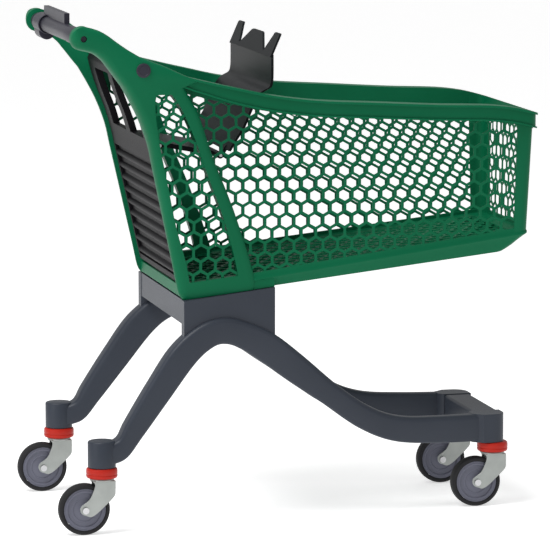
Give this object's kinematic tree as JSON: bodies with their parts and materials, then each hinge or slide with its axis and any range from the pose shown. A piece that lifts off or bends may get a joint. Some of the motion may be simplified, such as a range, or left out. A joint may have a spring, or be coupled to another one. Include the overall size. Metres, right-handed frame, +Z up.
{
  "type": "shopping cart",
  "caption": "Plastic shopping cart with a tapered basket of hexagon mesh, folding child seat, swinging rear gate, arched chassis and swivel casters.",
  "frame": {"origin": "on the floor under the middle of the cart's length and width", "axes": "+X the way the cart is pushed, +Y to the left, +Z up"},
  "size_m": [0.971, 0.5188, 0.9935],
  "materials": {
    "basket": "fine moulded texture",
    "chassis": "fine moulded texture",
    "slate": "smooth satin",
    "gate": "fine moulded texture",
    "seat": "smooth satin",
    "tyre": "matt",
    "hub": "satin",
    "ring": "satin",
    "zinc": "zinc plated",
    "steel": "bright"
  },
  "bodies": {
    "cart": {"right_side_frame": "chassis", "left_side_frame": "chassis", "saddle_beam": "chassis", "front_cross_bar": "chassis", "basket": "basket", "basket_screw_1": "steel", "basket_screw_2": "steel", "basket_screw_3": "steel", "basket_screw_4": "steel", "handle_bar": "slate", "lock_housing": "slate", "right_handle_bolt": "slate", "left_handle_bolt": "slate", "right_gate_pin": "slate", "left_gate_pin": "slate", "right_rear_ring": "ring", "right_rear_stem": "steel", "right_front_ring": "ring", "right_front_stem": "steel", "left_rear_ring": "ring", "left_rear_stem": "steel", "left_front_ring": "ring", "left_front_stem": "steel"},
    "gate": {"rear_gate": "gate", "seat_rear_rod": "steel"},
    "seat": {"seat_plate": "seat", "seat_front_rod": "steel"},
    "backrest": {"seat_back": "seat"},
    "right_rear_caster": {"right_rear_fork": "zinc", "right_rear_axle_bolt": "steel", "right_rear_axle_nut": "steel"},
    "right_rear_wheel": {"right_rear_hub": "hub", "right_rear_tyre": "tyre"},
    "right_front_caster": {"right_front_fork": "zinc", "right_front_axle_bolt": "steel", "right_front_axle_nut": "steel"},
    "right_front_wheel": {"right_front_hub": "hub", "right_front_tyre": "tyre"},
    "left_rear_caster": {"left_rear_fork": "zinc", "left_rear_axle_bolt": "steel", "left_rear_axle_nut": "steel"},
    "left_rear_wheel": {"left_rear_hub": "hub", "left_rear_tyre": "tyre"},
    "left_front_caster": {"left_front_fork": "zinc", "left_front_axle_bolt": "steel", "left_front_axle_nut": "steel"},
    "left_front_wheel": {"left_front_hub": "hub", "left_front_tyre": "tyre"}
  },
  "joints": [
    {"name": "right_rear_swivel", "type": "hinge", "parent": "cart", "child": "right_rear_caster", "pos_m": [-0.3995, -0.2265, 0.107], "axis": [0, 0, 1], "continuous": true},
    {"name": "right_rear_roll", "type": "hinge", "parent": "right_rear_caster", "child": "right_rear_wheel", "pos_m": [-0.435, -0.2265, 0.05], "axis": [0, 1, 0], "continuous": true},
    {"name": "right_front_swivel", "type": "hinge", "parent": "cart", "child": "right_front_caster", "pos_m": [0.4134, -0.127, 0.107], "axis": [0, 0, 1], "continuous": true},
    {"name": "right_front_roll", "type": "hinge", "parent": "right_front_caster", "child": "right_front_wheel", "pos_m": [0.3779, -0.127, 0.05], "axis": [0, 1, 0], "continuous": true},
    {"name": "left_rear_swivel", "type": "hinge", "parent": "cart", "child": "left_rear_caster", "pos_m": [-0.3995, 0.2265, 0.107], "axis": [0, 0, 1], "continuous": true},
    {"name": "left_rear_roll", "type": "hinge", "parent": "left_rear_caster", "child": "left_rear_wheel", "pos_m": [-0.435, 0.2265, 0.05], "axis": [0, 1, 0], "continuous": true},
    {"name": "left_front_swivel", "type": "hinge", "parent": "cart", "child": "left_front_caster", "pos_m": [0.4134, 0.127, 0.107], "axis": [0, 0, 1], "continuous": true},
    {"name": "left_front_roll", "type": "hinge", "parent": "left_front_caster", "child": "left_front_wheel", "pos_m": [0.3779, 0.127, 0.05], "axis": [0, 1, 0], "continuous": true},
    {"name": "gate_hinge", "type": "hinge", "parent": "cart", "child": "gate", "pos_m": [-0.3192, 0, 0.896], "axis": [0, -1, 0], "range_deg": [0, 70]},
    {"name": "seat_fold", "type": "hinge", "parent": "gate", "child": "seat", "pos_m": [-0.265, 0, 0.74], "axis": [0, 1, 0], "range_deg": [-60, 0]},
    {"name": "backrest_fold", "type": "hinge", "parent": "seat", "child": "backrest", "pos_m": [-0.145, 0, 0.718], "axis": [0, -1, 0], "range_deg": [0, 50]}
  ]
}
